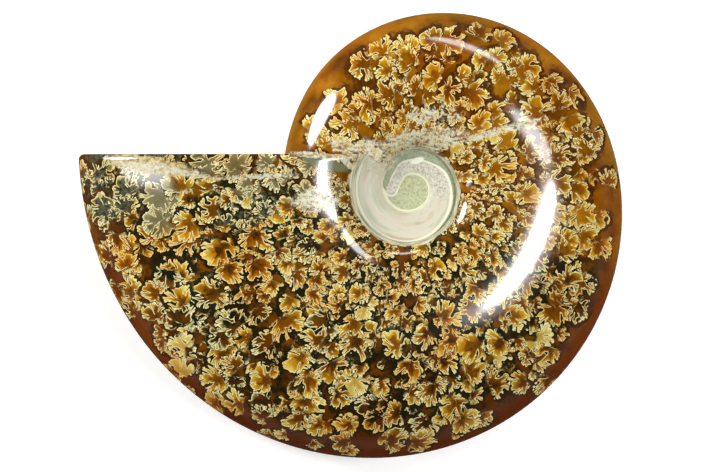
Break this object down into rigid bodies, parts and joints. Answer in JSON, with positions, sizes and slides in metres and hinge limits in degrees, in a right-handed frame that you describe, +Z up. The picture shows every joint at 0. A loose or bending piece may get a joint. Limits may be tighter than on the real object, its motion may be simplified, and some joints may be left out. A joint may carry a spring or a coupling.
{
  "type": "polished cleoniceras ammonite",
  "caption": "Whole coiled ammonite fossil, polished to show leaf-shaped suture lines, with a sawn flat aperture face and a shallow umbilicus, lying on one flank.",
  "frame": {"origin": "middle of the outline, on the plane that the lying fossil rests on", "axes": "+Z up out of the upper flank, +X from the aperture end across the coil, +Y the way the sawn aperture face looks"},
  "size_m": [0.1068, 0.0876, 0.028],
  "materials": {
    "polished_calcite": "polished, amber to dark brown calcite with cream suture lines"
  },
  "bodies": {
    "root": {"ammonite": "polished_calcite"}
  },
  "joints": []
}
